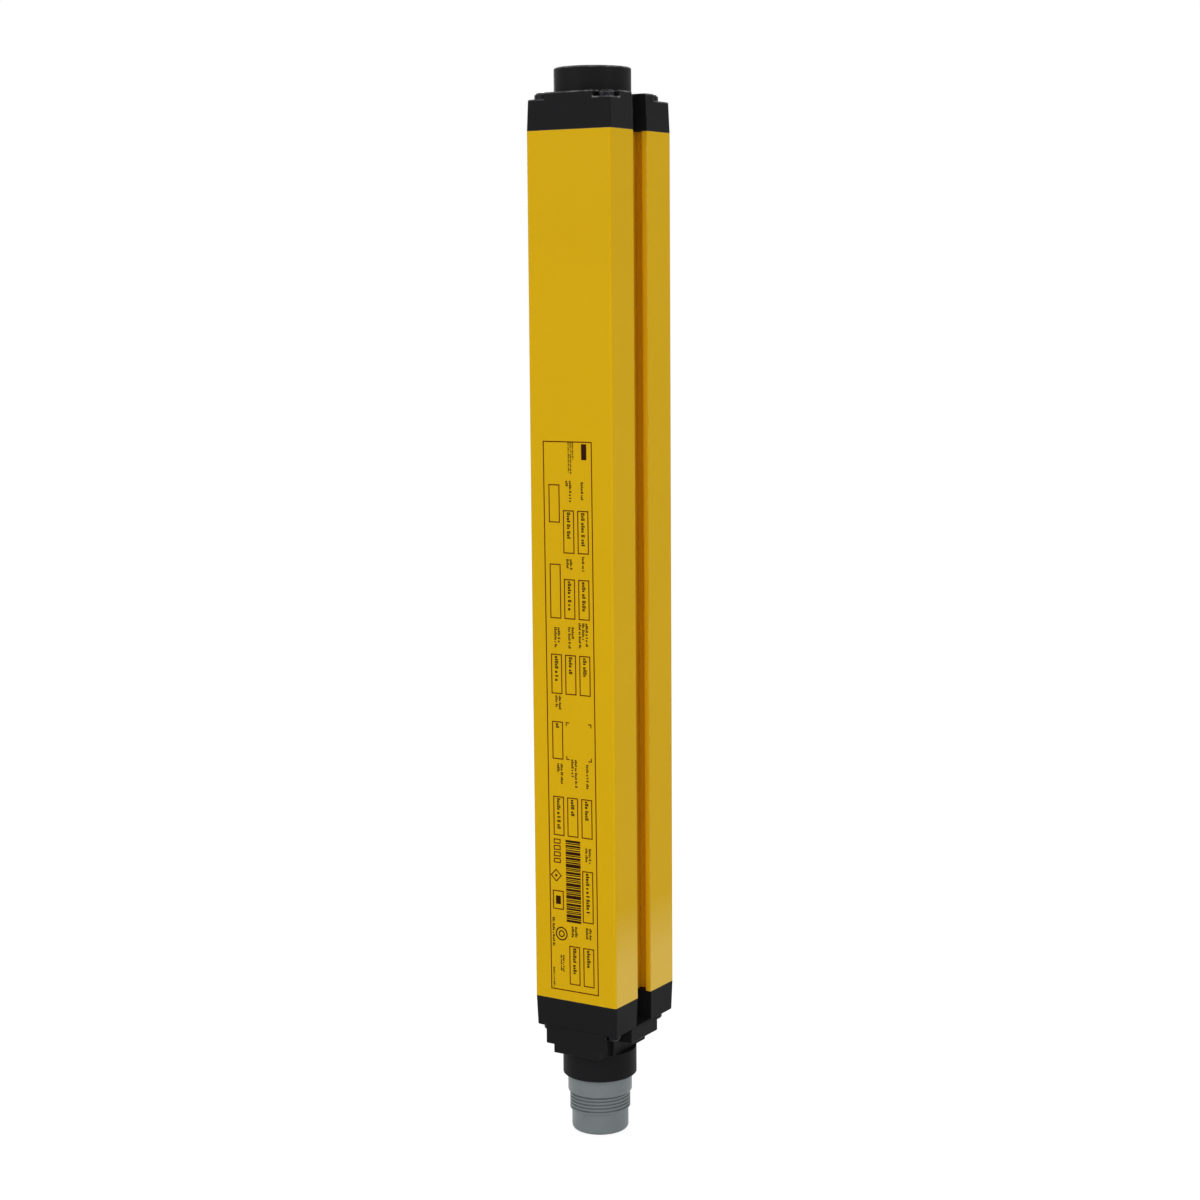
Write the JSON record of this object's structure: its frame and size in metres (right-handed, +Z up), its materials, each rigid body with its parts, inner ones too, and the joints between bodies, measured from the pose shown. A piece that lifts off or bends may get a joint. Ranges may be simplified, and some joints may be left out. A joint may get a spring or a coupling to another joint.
{
  "type": "safety light curtain",
  "caption": "Upright safety light curtain sender: painted extruded housing with side T-slots, dark optical window, moulded end caps with round mounting spigots and a round connector below.",
  "frame": {"origin": "on the common axis of the two mounting spigots, at the shoulder where the lower spigot meets the lower end cap", "axes": "+Z up along the housing towards the upper end cap, the optical window faces -Y, the rear label face looks along +Y, and the T-slots are on the +X and -X sides"},
  "size_m": [0.04, 0.048, 0.4477],
  "materials": {
    "housing": "satin powder coat, fine texture",
    "window": "polished, tinted",
    "seal": "matt",
    "cap": "fine moulded grain",
    "screw": "zinc plated",
    "connector": "satin",
    "insert": "matt",
    "contact": "gold plated",
    "board": "solder resist",
    "flex": "matt",
    "carrier": "matt black",
    "lens": "polished",
    "emitter": "polished",
    "spacer": "nickel plated",
    "buffer": "moulded rubber",
    "chip": "matt",
    "capacitor": "satin",
    "display": "grey face with pale segments",
    "lamp": "clear, diffused",
    "spring": "bright"
  },
  "bodies": {
    "root": {"housing_profile": "housing", "front_window": "window", "window_seals": "seal", "lower_end_cap": "cap", "upper_end_cap": "cap", "lower_cap_gasket": "seal", "upper_cap_gasket": "seal", "lower_cap_screws": "screw", "upper_cap_screws": "screw", "connector_shell": "connector", "connector_insert": "insert", "connector_pins": "contact", "connector_seal_ring": "seal", "connector_board": "board", "flex_circuit": "flex", "optics_carrier_lower": "carrier", "optics_carrier_upper": "carrier", "lens_plate_lower": "lens", "lens_plate_upper": "lens", "emitter_board_lower": "board", "emitter_board_upper": "board", "emitters_lower": "emitter", "emitters_upper": "emitter", "board_spacers": "spacer", "module_screws": "screw", "end_buffer": "buffer", "control_board": "board", "control_chips": "chip", "power_capacitors": "capacitor", "display_board": "board", "digit_display": "display", "status_lamps": "lamp", "display_posts": "spacer", "earth_spring": "spring"}
  },
  "joints": []
}
